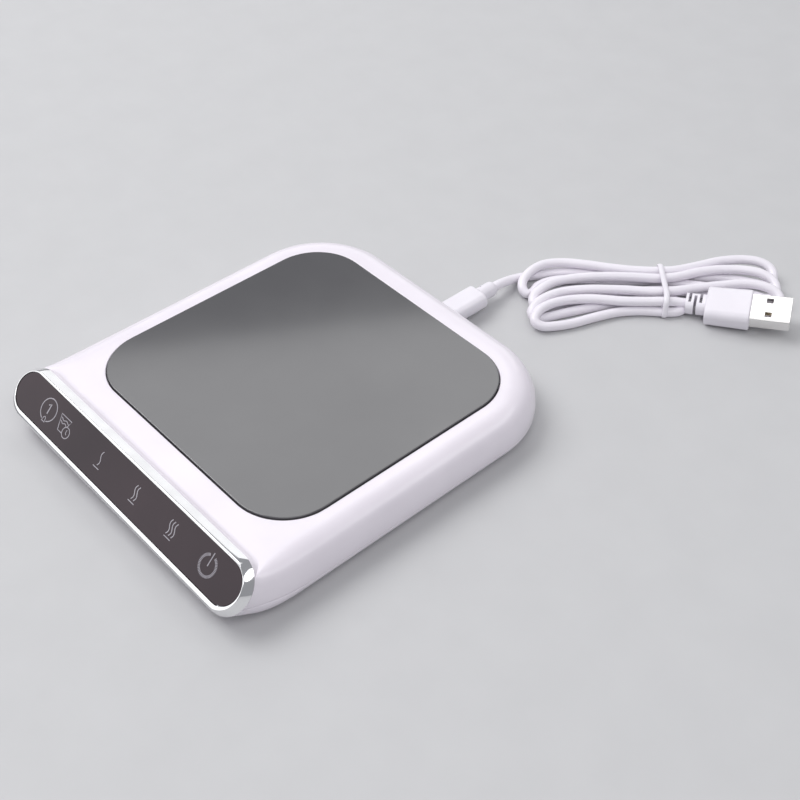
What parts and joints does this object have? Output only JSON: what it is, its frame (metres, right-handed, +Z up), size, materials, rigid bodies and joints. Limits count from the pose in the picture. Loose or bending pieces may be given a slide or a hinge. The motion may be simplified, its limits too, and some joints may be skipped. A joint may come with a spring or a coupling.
{
  "type": "electric mug warmer",
  "caption": "Low square mug warmer with a grey glass heating plate, a tilted chrome-rimmed touch bar in front and a plug-in USB lead folded into a tied hank.",
  "frame": {"origin": "on the table, under the middle of the warmer's bounding box without its lead", "axes": "+Z up, +X to the right as seen by the user, +Y from the touch bar to the back wall with the power socket"},
  "size_m": [0.1462, 0.2497, 0.02],
  "materials": {
    "housing": "glossy moulded white",
    "grey_glass": "grey back-coated glass, mirror-smooth",
    "adhesive": "black silicone bead",
    "film": "amber film with a heating track",
    "spreader": "plain sheet",
    "pad": "felted fibre",
    "carrier": "zinc-plated sheet",
    "screw_steel": "zinc-plated",
    "wire": "silicone insulation",
    "sensor": "dipped bead",
    "fuse": "plain",
    "board": "solder mask",
    "component": "moulded package",
    "port_steel": "bright nickel plate",
    "port_plastic": "moulded",
    "chrome": "mirror plated",
    "touch_panel": "glossy dark brown lens with light grey symbols",
    "light_guide": "diffusing",
    "lamp": "moulded lamp body",
    "ribbon": "flat cable",
    "feet": "soft grey",
    "lead_white": "satin moulded white",
    "cord_white": "satin soft jacket",
    "tie": "white coated wire tie",
    "usb_plastic": "moulded",
    "contact": "gold-plated"
  },
  "bodies": {
    "warmer": {"top_cover": "housing", "bottom_cover": "housing", "glass_plate": "grey_glass", "glass_adhesive_ring": "adhesive", "heating_film": "film", "heat_spreader": "spreader", "insulation_pad": "pad", "heater_carrier": "carrier", "heater_screws": "screw_steel", "heater_leads": "wire", "thermistor": "sensor", "thermal_fuse": "fuse", "main_board": "board", "board_components": "component", "board_screws": "screw_steel", "usb_socket": "port_steel", "usb_tongue": "port_plastic", "buzzer": "component", "chrome_bezel": "chrome", "touch_panel": "touch_panel", "light_guide": "light_guide", "indicator_leds": "lamp", "touch_board": "board", "ribbon_cable": "ribbon", "rubber_feet": "feet", "housing_screws": "screw_steel"},
    "lead": {"plug_shell": "port_steel", "plug_grip": "lead_white", "plug_relief": "lead_white", "cord_run": "cord_white", "cord_hank": "cord_white", "cord_tail": "cord_white", "cable_tie": "tie", "usb_a_relief": "lead_white", "usb_a_grip": "lead_white", "usb_a_shell": "port_steel", "usb_a_tongue": "usb_plastic", "usb_a_contacts": "contact"}
  },
  "joints": [
    {"name": "lead_unplug", "type": "slide", "parent": "warmer", "child": "lead", "axis": [0, 1, 0], "range_m": [0, 0.012]}
  ]
}
